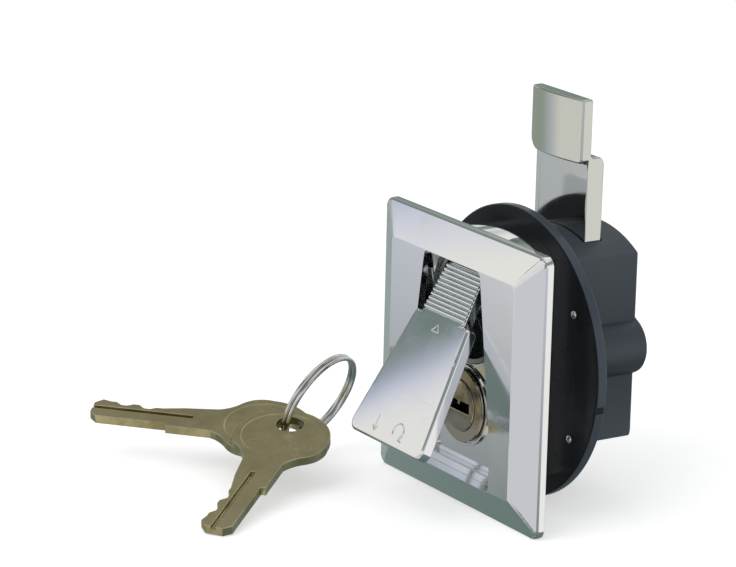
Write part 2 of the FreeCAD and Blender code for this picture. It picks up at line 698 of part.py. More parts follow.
def make_housing():
    """Moulded housing with the bolt's guides, the spring's lug and two screw tunnels."""
    inner_back = HOUSING_BACK - HOUSING_WALL
    body = housing_outline(0, FLANGE_BACK, HOUSING_BACK)
    rear = [
        edge for edge in body.Edges
        if edge.BoundBox.YMin > HOUSING_BACK - 0.01
    ]
    body = body.makeChamfer(HOUSING_EDGE, rear)
    for side in (-1, 1):
        body = body.fuse(rod(TUNNEL_RADIUS, side * SCREW_X, SCREW_Z, FLANGE_BACK, HOUSING_BACK))
    cavity = housing_outline(HOUSING_WALL, FLANGE_BACK, inner_back)
    for side in (-1, 1):
        tunnel = rod(TUNNEL_RADIUS, side * SCREW_X, SCREW_Z, FLANGE_BACK, inner_back)
        limit = box(TUNNEL_INNER, BIG, 0, BIG, -BIG, BIG)
        if side < 0:
            limit = box(-BIG, -TUNNEL_INNER, 0, BIG, -BIG, BIG)
        cavity = cavity.cut(tunnel.common(limit))
    swing = rod(
        DOG_REACH + DOG_SWING_CLEAR, 0, CYLINDER_Z,
        DOG_CENTRE - DOG_THICK / 2 - DOG_SWING_CLEAR,
        DOG_CENTRE + DOG_THICK / 2 + DOG_SWING_CLEAR,
    )
    swing = swing.common(box(0, BIG, 0, BIG, CYLINDER_Z - DOG_HALF - DOG_SWING_CLEAR, BIG))
    cavity = cavity.fuse(swing)
    guide_front = BOLT_FRONT - BOLT_CLEAR
    guide_back = BOLT_BACK + BOLT_CLEAR
    for side in (-1, 1):
        x0, x1 = sorted((side * (TAIL_HALF - REAR_RAIL), side * TUNNEL_INNER))
        cavity = cavity.cut(box(x0, x1, guide_back, inner_back, SCREW_Z, BIG))
        x0, x1 = sorted((side * (BOLT_HALF - FRONT_RAIL), side * HOUSING_HALF))
        rail_front = guide_front - FRONT_RAIL_THICK
        cavity = cavity.cut(box(x0, x1, rail_front, guide_front, HUB_Z + CRANK_HUB, BIG))
    lug = box(
        WINDOW_LEFT + LUG_SIDE_CLEAR, WINDOW_RIGHT - LUG_SIDE_CLEAR,
        guide_front, inner_back, LUG_TOP_Z - LUG_HEIGHT, LUG_TOP_Z,
    )
    cavity = cavity.cut(lug)
    body = body.cut(cavity)
    slot_half = BOLT_HALF + BOLT_CLEAR
    body = body.cut(box(-slot_half, slot_half, guide_front, guide_back, SHOULDER_Z, BIG))
    for side in (-1, 1):
        x = side * SCREW_X
        body = body.cut(rod(SCREW_RADIUS + SCREW_CLEAR, x, SCREW_Z, FLANGE_BACK, HOUSING_BACK))
        recess = rod(SCREW_RECESS, x, SCREW_Z, HOUSING_BACK - SCREW_HEAD, HOUSING_BACK)
        body = body.cut(recess)
    return body.removeSplitter()


def make_mounting_screws():
    """Two long screws from the housing's rear through the flange into the bezel."""
    head_y = HOUSING_BACK - SCREW_HEAD
    length = head_y - SCREW_TIP
    screws = [
        socket_screw(side * SCREW_X, SCREW_Z, head_y, SCREW_HEAD_RADIUS, SCREW_HEAD, length)
        for side in (-1, 1)
    ]
    return Part.makeCompound(screws)


def make_bolt():
    """Sliding bolt: guided bar, narrower tail with two windows, and a bowed head."""
    bar = box(-BOLT_HALF, BOLT_HALF, BOLT_FRONT, BOLT_BACK, SHOULDER_Z, BAR_TOP)
    top_edges = [
        edge for edge in bar.Edges
        if edge.BoundBox.ZMin > BAR_TOP - 0.01 and edge.BoundBox.YMin > BOLT_BACK - 0.01
    ]
    bar = bar.makeFillet(BAR_TOP_CORNER, top_edges)
    tail = box(-TAIL_HALF, TAIL_HALF, BOLT_FRONT, BOLT_BACK, TAIL_BOTTOM, SHOULDER_Z)
    section = Part.Wire([
        Part.Arc(
            V(-BOLT_HALF, HEAD_FRONT, HEAD_BOTTOM),
            V(0, HEAD_FRONT - HEAD_BULGE, HEAD_BOTTOM),
            V(BOLT_HALF, HEAD_FRONT, HEAD_BOTTOM),
        ).toShape(),
        Part.makeLine(V(BOLT_HALF, HEAD_FRONT, HEAD_BOTTOM), V(BOLT_HALF, HEAD_BACK, HEAD_BOTTOM)),
        Part.makeLine(V(BOLT_HALF, HEAD_BACK, HEAD_BOTTOM), V(-BOLT_HALF, HEAD_BACK, HEAD_BOTTOM)),
        Part.makeLine(V(-BOLT_HALF, HEAD_BACK, HEAD_BOTTOM), V(-BOLT_HALF, HEAD_FRONT, HEAD_BOTTOM)),
    ])
    head = Part.Face(section).extrude(V(0, 0, HEAD_TOP - HEAD_BOTTOM))
    corners = [
        (-BOLT_HALF, HEAD_BOTTOM, HEAD_CORNER),
        (-BOLT_HALF, HEAD_TOP, 0),
        (BOLT_HALF, HEAD_TOP, 0),
        (BOLT_HALF, HEAD_BOTTOM, HEAD_CORNER / 3),
    ]
    head = head.common(plate(corners, HEAD_FRONT - 2 * HEAD_BULGE, BIG))
    bolt = fuse(bar, tail, head)
    reach = CRANK_PIN_RADIUS + SLOT_CLEAR
    slot_left = PIN_X - reach
    slot_right = CRANK_THROW + reach
    slot = box(slot_left, slot_right, BOLT_FRONT, BOLT_BACK, PIN_Z - reach, SLOT_TOP)
    bottom = LUG_TOP_Z - LUG_HEIGHT - LUG_SIDE_CLEAR
    window = box(WINDOW_LEFT, WINDOW_RIGHT, BOLT_FRONT, BOLT_BACK, bottom, WINDOW_TOP)
    return bolt.cut(slot).cut(window).removeSplitter()


def make_bolt_spring():
    """Compression spring between the housing's lug and the top of the bolt's window."""
    wire_half = SPRING_WIRE / 2
    rise = WINDOW_TOP - LUG_TOP_Z - SPRING_WIRE
    spring = coiled_wire(
        SPRING_RADIUS, wire_half, rise / SPRING_TURNS, SPRING_TURNS, SPRING_STEPS
    )
    middle_x = (WINDOW_LEFT + WINDOW_RIGHT) / 2
    middle_y = (BOLT_FRONT + BOLT_BACK) / 2
    spring.translate(V(middle_x, middle_y, LUG_TOP_Z + wire_half))
    return spring


def make_crank():
    """Crank arm on the hub's square, with the seat for its screw and the pin's hole."""
    hub = rod(CRANK_HUB, 0, HUB_Z, CRANK_FRONT, CRANK_BACK)
    end = rod(CRANK_END, PIN_X, PIN_Z, CRANK_FRONT, CRANK_BACK)
    lean = (CRANK_HUB - CRANK_END) / CRANK_THROW
    side = math.sqrt(1 - lean * lean)
    angle = math.radians(TURN_AT_REST)
    along = (math.sin(angle), math.cos(angle))
    across = (math.cos(angle), -math.sin(angle))
    points = []
    for x, z, radius in ((0, HUB_Z, CRANK_HUB), (PIN_X, PIN_Z, CRANK_END)):
        for turn in (-1, 1):
            dx = lean * along[0] + turn * side * across[0]
            dz = lean * along[1] + turn * side * across[1]
            points.append(V(x + radius * dx, CRANK_FRONT, z + radius * dz))
    loop = Part.makePolygon([points[0], points[1], points[3], points[2], points[0]])
    web = Part.Face(loop).extrude(V(0, CRANK_THICK, 0))
    arm = fuse(hub, end, web)
    square = box(-SQUARE / 2, SQUARE / 2, CRANK_FRONT, CRANK_BACK, -SQUARE / 2, SQUARE / 2)
    square.rotate(V(0, 0, 0), V(0, 1, 0), TURN_AT_REST)
    square.translate(V(0, 0, HUB_Z))
    square = square.common(box(-BIG, BIG, CRANK_FRONT, crank_seat(), -BIG, BIG))
    arm = arm.cut(square)
    arm = arm.cut(rod(CRANK_SCREW_HEAD + RUNNING, 0, HUB_Z, crank_seat(), CRANK_BACK))
    arm = arm.cut(rod(CRANK_PIN_RADIUS, PIN_X, PIN_Z, CRANK_FRONT, CRANK_BACK))
    return arm.removeSplitter()


def make_crank_pin():
    """Steel pin that runs in the bolt's slot."""
    return rod(CRANK_PIN_RADIUS, PIN_X, PIN_Z, CRANK_FRONT, CRANK_BACK + CRANK_PIN_REACH)


def make_crank_screw():
    """Low-head screw that holds the crank on the hub."""
    return socket_screw(
        0, HUB_Z, crank_seat(), CRANK_SCREW_HEAD, CRANK_SCREW_HEAD_THICK, CRANK_SCREW_LENGTH
    )


def key_normal():
    """Direction square to both keys, which lie parallel, one on the other."""
    normal = V(*KEY_NORMAL)
    normal.normalize()
    return normal


def ring_crossing(offset):
    """Where the ring's centre line passes through a plane parallel to the keys."""
    normal = key_normal()
    level = V(*KEY_LEVEL)
    centre = V(*RING_CENTRE)
    axis = V(*RING_AXIS)
    axis.normalize()
    line = axis.cross(normal)
    line.normalize()
    down = axis.cross(line)
    distance = (level + normal * offset - centre).dot(normal)
    step = distance / down.dot(normal)
    near = centre + down * step
    reach = math.sqrt(RING_RADIUS ** 2 - step * step)
    points = (near + line * reach, near - line * reach)
    return min(points, key=lambda point: (point - level).Length)


def key_side(side, cut):
    """One long side of a key, from its tip to the widest place of its bow."""
    tip = KEY_HOLE_FROM_END - KEY_LENGTH
    blade = KEY_BLADE / 2
    shank = KEY_SHANK / 2
    run = [V(tip + KEY_NOSE, side * blade, 0)]
    if cut:
        for i, depth in enumerate(KEY_CUTS):
            x = tip + KEY_CUT_START + i * WAFER_PITCH
            run.append(V(x, side * (blade - depth), 0))
            run.append(V(x + KEY_CUT_LAND, side * (blade - depth), 0))
        run.append(V(tip + KEY_STEP + KEY_STEP_RUN, side * blade, 0))
    else:
        run.append(V(tip + KEY_STEP, side * blade, 0))
        run.append(V(tip + KEY_STEP, side * shank, 0))
    run.append(V(tip + KEY_BOW_START, side * shank, 0))
    edges = [Part.makeLine(a, b) for a, b in zip(run, run[1:])]
    start = run[-1]
    flare = V(start.x + KEY_FLARE_RUN, side * KEY_FLARE / 2, 0)
    crown = V(KEY_HOLE_FROM_END - KEY_CROWN_FROM_END, side * KEY_BOW / 2, 0)
    dip = (start + flare) * 0.5 - V(0, side * KEY_FLARE_DIP, 0)
    swell = (flare + crown) * 0.5 + V(0, side * KEY_CROWN_RISE, 0)
    edges.append(Part.Arc(start, dip, flare).toShape())
    edges.append(Part.Arc(flare, swell, crown).toShape())
    return edges, run[0], crown


def key_blank():
    """A key lying along -X with its hole at the origin, its cuts towards +Y, groove up."""
    tip = KEY_HOLE_FROM_END - KEY_LENGTH
    upper, upper_start, upper_top = key_side(1, True)
    lower, lower_start, lower_top = key_side(-1, False)
    bow_end = Part.Arc(upper_top, V(KEY_HOLE_FROM_END, 0, 0), lower_top).toShape()
    nose = KEY_BLADE / 2 - KEY_NOSE
    end = [
        Part.makeLine(lower_start, V(tip, -nose, 0)),
        Part.makeLine(V(tip, -nose, 0), V(tip, nose, 0)),
        Part.makeLine(V(tip, nose, 0), upper_start),
    ]
    wire = Part.Wire(Part.__sortEdges__(upper + [bow_end] + lower + end))
    blank = Part.Face(wire).extrude(V(0, 0, KEY_THICK))
    blank = blank.cut(Part.makeCylinder(KEY_HOLE, KEY_THICK, V(0, 0, 0)))
    groove = Part.makeBox(
        KEY_GROOVE_END, KEY_GROOVE_WIDTH, KEY_GROOVE_DEPTH,
        V(tip, KEY_GROOVE_START, KEY_THICK - KEY_GROOVE_DEPTH),
    )
    blank = blank.cut(groove)
    blank.translate(V(0, 0, -KEY_THICK / 2))
    return blank.removeSplitter()


def place_key(tip, offset, shift):
    """A key on the ring, offset along the keys' normal, its hole shifted from the wire."""
    normal = key_normal()
    shift = V(*shift)
    origin = ring_crossing(offset) + shift - normal * shift.dot(normal)
    toward = V(*tip) - origin
    toward = toward - normal * toward.dot(normal)
    toward.normalize()
    x_axis = toward * -1
    y_axis = normal.cross(x_axis)
    key = key_blank()
    key.Placement = FreeCAD.Placement(
        origin, FreeCAD.Rotation(x_axis, y_axis, normal, "ZXY")
    )
    return key


def make_key_one():
    """The key that points left and lies under the other."""
    return place_key(LEFT_KEY_TIP, -KEY_THICK - KEY_GAP, LEFT_KEY_SHIFT)


def make_key_two():
    """The key that points forwards and lies on top."""
    return place_key(FRONT_KEY_TIP, 0, FRONT_KEY_SHIFT)


def coiled_wire(radius, wire, pitch, turns, steps):
    """Wire wound about +Z from height zero, its round drawn with a few flats."""
    count = round(turns * steps)
    slope = pitch / (2 * math.pi * radius)
    rings = []
    for i in range(count + 1):
        angle = 2 * math.pi * turns * i / count
        outward = V(math.cos(angle), math.sin(angle), 0)
        along = V(-math.sin(angle), math.cos(angle), slope)
        along.normalize()
        upward = outward.cross(along) * -1
        middle = outward * radius + V(0, 0, pitch * turns * i / count)
        loop = []
        for k in range(WIRE_FLATS):
            turn = 2 * math.pi * (k + 0.5) / WIRE_FLATS
            loop.append(middle + outward * (wire * math.cos(turn)) + upward * (wire * math.sin(turn)))
        rings.append(loop)
    faces = []
    for here, there in zip(rings, rings[1:]):
        for k in range(WIRE_FLATS):
            a, b = here[k - 1], here[k]
            c, d = there[k - 1], there[k]
            faces.append(Part.Face(Part.makePolygon([a, b, d, a])))
            faces.append(Part.Face(Part.makePolygon([a, d, c, a])))
    for loop in (rings[0], rings[-1]):
        faces.append(Part.Face(Part.makePolygon(loop + loop[:1])))
    coil = Part.makeSolid(Part.makeShell(faces))
    return coil if coil.Volume > 0 else coil.reversed()


def make_key_ring():
    """Split ring of nearly two turns of round wire."""
    ring = coiled_wire(RING_RADIUS, RING_WIRE, RING_PITCH, RING_TURNS, RING_STEPS)
    ring.translate(V(0, 0, -RING_TURNS * RING_PITCH / 2))
    axis = V(*RING_AXIS)
    axis.normalize()
    turn = FreeCAD.Rotation(V(0, 0, 1), axis)
    ring.Placement = FreeCAD.Placement(V(*RING_CENTRE), turn).multiply(ring.Placement)
    return ring


PARTS = {
    "bezel": make_bezel,
    "rear_flange": make_flange,
    "grip_pins": make_grip_pins,
    "rear_housing": make_housing,
    "mounting_screws": make_mounting_screws,
    "cylinder_shell": make_cylinder_shell,
    "cylinder_clip": make_clip,
    "bolt_spring": make_bolt_spring,
    "turn_hub": make_hub,
    "pivot_pin": make_pivot_pin,
    "friction_leaf": make_leaf,
    "crank_arm": make_crank,
    "crank_pin": make_crank_pin,
    "crank_screw": make_crank_screw,
    "handle": make_handle,
    "latch_bolt": make_bolt,
    "key_plug": make_plug,
    "wafer_tumblers": make_wafers,
    "locking_dog": make_dog,
    "dog_screw": make_dog_screw,
    "key_ring": make_key_ring,
    "key_one": make_key_one,
    "key_two": make_key_two,
}

os.makedirs("parts", exist_ok=True)
for name, make in PARTS.items():
    shape = make()
    shape.exportStep(f"parts/{name}.step")
    print(name, "solids", len(shape.Solids), "valid", shape.isValid(), "mm3", round(shape.Volume, 1))
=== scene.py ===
import json
import math

import bmesh
import bpy
from mathutils import Matrix, Vector


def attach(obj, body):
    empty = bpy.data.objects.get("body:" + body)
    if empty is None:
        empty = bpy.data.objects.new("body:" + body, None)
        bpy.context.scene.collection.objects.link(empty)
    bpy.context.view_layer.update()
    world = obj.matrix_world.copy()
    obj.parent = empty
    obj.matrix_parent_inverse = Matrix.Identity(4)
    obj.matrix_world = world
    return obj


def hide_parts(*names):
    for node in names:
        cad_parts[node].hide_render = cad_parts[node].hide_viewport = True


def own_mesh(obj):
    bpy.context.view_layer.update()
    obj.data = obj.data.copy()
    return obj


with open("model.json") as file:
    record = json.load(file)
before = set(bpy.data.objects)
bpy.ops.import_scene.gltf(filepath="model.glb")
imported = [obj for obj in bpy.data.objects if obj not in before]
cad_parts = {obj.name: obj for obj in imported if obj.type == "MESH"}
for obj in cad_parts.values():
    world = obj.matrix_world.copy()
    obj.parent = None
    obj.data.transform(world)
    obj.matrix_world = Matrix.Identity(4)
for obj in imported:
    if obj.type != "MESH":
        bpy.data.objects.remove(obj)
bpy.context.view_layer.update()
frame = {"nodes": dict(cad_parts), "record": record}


# Bezel. A square zinc die casting, ground, polished and plated with bright chrome. The
# polishing wheel rounds its front edges softly, and its recess, barrel and screw bosses are
# cast in one with it.

nodes = frame["nodes"]
merge_within = 2e-6
flat_within = math.radians(0.6)


def finished(
    node, name, body, materials, rounding, steps=3, crease=28.0, reshape=None, soft=None
):
    """A machined copy of a solid: its flat faces are made whole and its edges are rounded.

    An edge is rounded where it turns by more than crease, in degrees. reshape changes the
    copy before that, and soft gives the share of the rounding that such an edge gets.
    """
    mesh = nodes[node].data.copy()
    mesh.name = name
    mesh.materials.clear()
    for material in materials:
        mesh.materials.append(material)
    shape = bmesh.new()
    shape.from_mesh(mesh)
    bmesh.ops.remove_doubles(shape, verts=shape.verts, dist=merge_within)
    bmesh.ops.dissolve_limit(
        shape, angle_limit=flat_within, verts=shape.verts, edges=shape.edges
    )
    if reshape:
        reshape(shape)
    if soft:
        weight = shape.edges.layers.float.new("bevel_weight_edge")
        for edge in shape.edges:
            if edge.is_manifold and edge.calc_face_angle() > math.radians(crease):
                edge[weight] = soft(edge)
    for face in shape.faces:
        face.smooth = True
    shape.to_mesh(mesh)
    shape.free()
    piece = bpy.data.objects.new(name, mesh)
    bpy.context.scene.collection.objects.link(piece)
    edge = piece.modifiers.new("rounded edges", "BEVEL")
    edge.width = rounding
    edge.segments = steps
    edge.limit_method = "WEIGHT" if soft else "ANGLE"
    edge.angle_limit = math.radians(crease)
    edge.use_clamp_overlap = False
    edge.miter_outer = "MITER_ARC"
    even = piece.modifiers.new("flat faces stay flat", "WEIGHTED_NORMAL")
    even.weight = 100
    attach(piece, body)
    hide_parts(node)


def wired(tree, node, sockets):
    """Gives a node's inputs their numbers and colours, or links from other nodes."""
    for socket, value in dict(sockets).items():
        if isinstance(value, bpy.types.NodeSocket):
            tree.links.new(value, node.inputs[socket])
        else:
            node.inputs[socket].default_value = value
    return node


def added(tree, kind, sockets=(), **settings):
    """Makes and wires a node, and gives back the first of its outputs that is in use."""
    node = tree.nodes.new(kind)
    for setting, value in settings.items():
        setattr(node, setting, value)
    wired(tree, node, sockets)
    return next((socket for socket in node.outputs if socket.enabled), None)


def reckoned(tree, operation, *values, kind="ShaderNodeMath"):
    """The result of a sum on numbers and on other nodes' outputs."""
    return added(tree, kind, enumerate(values), operation=operation)


def ranged(tree, value, start=0.0, end=1.0, least=0.0, most=1.0, ease="LINEAR"):
    """Goes from least to most while value goes from start to end."""
    return added(tree, "ShaderNodeMapRange", {
        "Value": value, "From Min": start, "From Max": end, "To Min": least, "To Max": most,
    }, interpolation_type=ease)


def noise(tree, place, scale, detail, roughness=0.5):
    """Soft clouds over the surface, finer as scale goes up."""
    return added(tree, "ShaderNodeTexNoise", {
        "Vector": place, "Scale": scale, "Detail": detail, "Roughness": roughness,
    })


def bumped(tree, height, strength, distance):
    """The surface's slope where it stands up by height."""
    return added(tree, "ShaderNodeBump", {
        "Height": height, "Strength": strength, "Distance": distance,
    })


def object_place(tree):
    """Where a point of the surface lies in the frame."""
    return tree.nodes.new("ShaderNodeTexCoord").outputs["Object"]


def new_group(name, inputs, outputs, kind="ShaderNodeTree"):
    """An empty node group with its sockets, its input node and its output node."""
    group = bpy.data.node_groups.new(name, kind)
    for label, socket_kind, value in inputs:
        socket = group.interface.new_socket(name=label, in_out="INPUT", socket_type=socket_kind)
        if value is not None:
            socket.default_value = value
    for label, socket_kind in outputs:
        group.interface.new_socket(name=label, in_out="OUTPUT", socket_type=socket_kind)
    return group, group.nodes.new("NodeGroupInput"), group.nodes.new("NodeGroupOutput")


def placed_group(tree, group, sockets):
    """A node group in a material, with that material's own values."""
    node = tree.nodes.new("ShaderNodeGroup")
    node.node_tree = group
    return wired(tree, node, sockets)


def new_material(name):
    """A material, its tree and its shader."""
    material = bpy.data.materials.new(name)
    material.use_nodes = True
    return material, material.node_tree, material.node_tree.nodes["Principled BSDF"]


def handled_plating_group():
    """Handling marks on bright plating: smudges, hairline scratches and a slight waviness."""
    group, into, out = new_group(
        "handled plating",
        [
            ("Smudge size", "NodeSocketFloat", 60.0),
            ("Least roughness", "NodeSocketFloat", 0.05),
            ("Most roughness", "NodeSocketFloat", 0.16),
            ("Scratches", "NodeSocketFloat", 0.1),
            ("Waviness", "NodeSocketFloat", 0.02),
        ],
        [("Roughness", "NodeSocketFloat"), ("Normal", "NodeSocketVector")],
    )
    place = object_place(group)
    smudge = noise(group, place, into.outputs["Smudge size"], 5.0, 0.62)
    dull = ranged(
        group, smudge, 0.38, 0.72,
        into.outputs["Least roughness"], into.outputs["Most roughness"],
    )
    hairlines = []
    for turn, stretch in (
        ((0.2, 0.5, 0.9), (90.0, 2600.0, 90.0)),
        ((1.1, -0.4, 0.3), (2100.0, 70.0, 110.0)),
    ):
        along = added(group, "ShaderNodeMapping", {
            "Vector": place, "Rotation": turn, "Scale": stretch,
        })
        hairlines.append(ranged(group, noise(group, along, 1.0, 2.0), 0.66, 0.72))
    scratches = reckoned(
        group, "MULTIPLY", reckoned(group, "MAXIMUM", *hairlines), into.outputs["Scratches"]
    )
    wave = noise(group, place, 90.0, 2.0)
    wired(group, out, {
        "Roughness": reckoned(group, "ADD", dull, scratches),
        "Normal": bumped(group, wave, into.outputs["Waviness"], 0.0006),
    })
    return group


handled_plating = handled_plating_group()


def plated(name, colour, least, most, smudge=60.0, scratches=0.06, waviness=0.02, metal=1.0):
    """A bright plated metal, whose roughness lies between least and most."""
    material, tree, shader = new_material(name)
    marks = placed_group(tree, handled_plating, {
        "Smudge size": smudge,
        "Least roughness": least,
        "Most roughness": most,
        "Scratches": scratches,
        "Waviness": waviness,
    })
    wired(tree, shader, {
        "Base Color": (*colour, 1),
        "Metallic": metal,
        "Roughness": marks.outputs["Roughness"],
        "Normal": marks.outputs["Normal"],
    })
    return material


rim_half = 0.029
rim_front = -0.0001
share_inside_rim = 0.16


def bezel_softness(edge):
    """The rim's edges are rounded most, and those of the face and the recess least."""
    ends = [vert.co for vert in edge.verts]
    if all(co.y < rim_front and max(abs(co.x), abs(co.z)) > rim_half for co in ends):
        return 1.0
    return share_inside_rim


bezel_chrome = plated("bezel chrome", (0.80, 0.81, 0.82), least=0.05, most=0.13)
finished(
    "bezel", "bezel_casting", "base", [bezel_chrome],
    rounding=0.0005, steps=4, crease=14.0, soft=bezel_softness,
)


# Flange. A turned steel plate behind the door, painted gloss black. Its turned edge gets a
# greyer colour, a painted sheen.

flange_radius = 0.0313
flange_middle = (0, 0, 0.0013)
# Where the painted sheen on the turned edge begins and ends.
painted_rim_sheen_from = flange_radius - 0.00022
painted_rim_sheen_to = flange_radius - 0.00006


def blended(tree, share, first, second):
    """A colour between two others."""
    return added(tree, "ShaderNodeMix", {
        "Factor": share, "A": first, "B": second,
    }, data_type="RGBA")


def painted_black():
    """Gloss black paint, slightly clouded, with a faint orange peel and a painted sheen: a
    greyer turned edge.
    """
    material, tree, shader = new_material("gloss black paint")
    place = object_place(tree)
    cloud = noise(tree, place, 55.0, 6.0)
    tint = blended(tree, cloud, (0.0022, 0.0032, 0.0046, 1), (0.0042, 0.0056, 0.0075, 1))
    in_plane = reckoned(tree, "MULTIPLY", place, (1, 0, 1), kind="ShaderNodeVectorMath")
    away = reckoned(tree, "DISTANCE", in_plane, flange_middle, kind="ShaderNodeVectorMath")
    # The greyer colour of the turned edge is a painted sheen.
    edge = ranged(tree, away, painted_rim_sheen_from, painted_rim_sheen_to)
    peel = noise(tree, place, 900.0, 3.0)
    wired(tree, shader, {
        "Base Color": blended(tree, edge, tint, (0.050, 0.062, 0.076, 1)),
        "Roughness": ranged(tree, cloud, least=0.20, most=0.34),
        "Specular IOR Level": 0.16,
        "Specular Tint": (0.80, 0.90, 1.0, 1),
        "Coat Weight": 0.10,
        "Coat Roughness": 0.06,
        "Normal": bumped(tree, peel, 0.10, 0.0001),
    })
    return material


finished(
    "rear_flange", "clamp_flange", "base", [painted_black()], rounding=0.00015
)


# Grip pins. Four hardened steel pins pressed through the flange, whose domed ends bite into
# the back of the door.

pin_steel = plated("pin steel", (0.72, 0.73, 0.74), least=0.12, most=0.22)
finished("grip_pins", "door_grip_pins", "base", [pin_steel], rounding=0.00012)


# Housing. Moulded in slate-coloured glass-filled nylon with a fine spark-eroded texture, its
# bolt guides and its screw tunnels in one.

def moulded_slate():
    """Slate nylon with a fine matt grain and slightly paler edges, partly wear and partly a
    painted edge highlight.
    """
    material, tree, shader = new_material("slate nylon")
    place = object_place(tree)
    cloud = noise(tree, place, 70.0, 5.0)
    tint = blended(tree, cloud, (0.0125, 0.0215, 0.0345, 1), (0.0195, 0.0310, 0.0450, 1))
    corner = tree.nodes.new("ShaderNodeNewGeometry").outputs["Pointiness"]
    # Paler edges, partly wear and partly a painted edge highlight.
    worn_and_highlit_edge = ranged(tree, corner, 0.51, 0.56, most=0.55)
    grain = noise(tree, place, 2600.0, 2.0)
    wired(tree, shader, {
        "Base Color": blended(tree, worn_and_highlit_edge, tint, (0.085, 0.105, 0.120, 1)),
        "Roughness": ranged(tree, cloud, least=0.40, most=0.58),
        "Normal": bumped(tree, grain, 0.25, 0.00008),
    })
    return material


finished(
    "rear_housing", "bolt_housing", "base", [moulded_slate()],
    rounding=0.0003,
)


# Mounting screws. Two zinc-plated socket screws that reach from the housing's rear into the
# bezel's bosses.

zinc_plate = plated(
    "zinc plate", (0.62, 0.63, 0.63), least=0.18, most=0.34, smudge=200.0, scratches=0.12
)
finished("mounting_screws", "long_screws", "base", [zinc_plate], rounding=0.0001)


# Lock cylinder. Its body is a nickel-plated zinc casting with a round head, held from behind
# by a spring clip.

def coated(names, material):
    """Small inner pieces keep their solids and get their finish."""
    for name in names:
        nodes[name].data.materials.clear()
        nodes[name].data.materials.append(material)


warm_nickel = plated(
    "warm nickel", (0.47, 0.42, 0.35), least=0.11, most=0.24,
    smudge=260.0, scratches=0.14, waviness=0.05,
)
finished("cylinder_shell", "cylinder_body", "base", [warm_nickel], rounding=0.00012)
coated(["cylinder_clip"], zinc_plate)


# Bolt spring. Wound from spring steel wire, it stands on the housing's lug and pushes the
# bolt out.

def end_growth(group, into, out, geometry):
    """Ends a tree: smooth shading, copies made real, and the material."""
    smooth = added(group, "GeometryNodeSetShadeSmooth", {"Geometry": geometry})
    whole = added(group, "GeometryNodeRealizeInstances", {"Geometry": smooth})
    coat = added(group, "GeometryNodeSetMaterial", {
        "Geometry": whole, "Material": into.outputs["Material"],
    })
    wired(group, out, {"Geometry": coat})


def wound_wire_tree():
    """Round wire wound about +Z from height zero, first turn at +X, counter-clockwise."""
    group, into, out = new_group(
        "wound wire",
        [
            ("Radius", "NodeSocketFloat", 0.01),
            ("Wire radius", "NodeSocketFloat", 0.0005),
            ("Height", "NodeSocketFloat", 0.002),
            ("Turns", "NodeSocketFloat", 2.0),
            ("Steps in a turn", "NodeSocketInt", 96),
            ("Material", "NodeSocketMaterial", None),
        ],
        [("Geometry", "NodeSocketGeometry")],
        "GeometryNodeTree",
    )
    path = added(group, "GeometryNodeCurveSpiral", {
        "Resolution": into.outputs["Steps in a turn"],
        "Rotations": into.outputs["Turns"],
        "Start Radius": into.outputs["Radius"],
        "End Radius": into.outputs["Radius"],
        "Height": into.outputs["Height"],
        "Reverse": True,
    })
    section = added(group, "GeometryNodeCurvePrimitiveCircle", {
        "Resolution": 14, "Radius": into.outputs["Wire radius"],
    })
    wire = added(group, "GeometryNodeCurveToMesh", {
        "Curve": path, "Profile Curve": section, "Fill Caps": True,
    })
    end_growth(group, into, out, wire)
    return group


def grown(name, group, sizes, material, place):
    """The plain mesh that a Geometry Nodes tree makes, moved to its place in the frame."""
    piece = bpy.data.objects.new(name, bpy.data.meshes.new(name))
    bpy.context.scene.collection.objects.link(piece)
    growth = piece.modifiers.new(group.name, "NODES")
    growth.node_group = group
    values = {**sizes, "Material": material}
    for socket in group.interface.items_tree:
        if socket.in_out == "INPUT":
            growth[socket.identifier] = values[socket.name]
    bpy.context.view_layer.update()
    made = piece.evaluated_get(bpy.context.evaluated_depsgraph_get())
    plain = bpy.data.meshes.new_from_object(made)
    piece.modifiers.remove(growth)
    piece.data = plain
    plain.name = name
    plain.transform(place)
    return piece


joints = {joint["name"]: joint for joint in frame["record"]["behaviour"]["joints"]}
wound_wire = wound_wire_tree()
spring_steel = plated(
    "spring steel", (0.60, 0.60, 0.59), least=0.16, most=0.26, smudge=300.0
)
spring_wire = 0.0006
spring_foot = 0.010
spring_top = 0.022
spring = grown(
    "wound_spring", wound_wire,
    {
        "Radius": 0.0017,
        "Wire radius": spring_wire / 2,
        "Height": spring_top - spring_foot - spring_wire,
        "Turns": 5.0,
        "Steps in a turn": 40,
    },
    spring_steel,
    Matrix.Translation((-0.0048, 0.02445, spring_foot + spring_wire / 2)),
)
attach(spring, "base")
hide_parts("bolt_spring")
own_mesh(spring)


# Turning hub. A chromed cup with a steel cross pin, which the handle tilts on, and a spring
# leaf on its floor.

# The cup's chrome is darkened: a painted shade of the recess it sits in.
shade_darkened_cup_chrome = plated(
    "cup chrome darkened as painted shade", (0.28, 0.31, 0.31), least=0.16, most=0.24,
    scratches=0.0, waviness=0.0, metal=0.85,
)
finished("turn_hub", "handle_hub", "hub", [shade_darkened_cup_chrome], rounding=0.0001)
coated(["pivot_pin", "friction_leaf", "crank_arm", "crank_pin", "crank_screw"], pin_steel)


# Handle. A chromed zinc casting: a broad, slightly crowned plate that the fingers lift, and a
# ridged neck that the thumb presses. It is drawn shut and then lifted about its cross pin, by
# the angle between rest and its lower limit, which is shut.

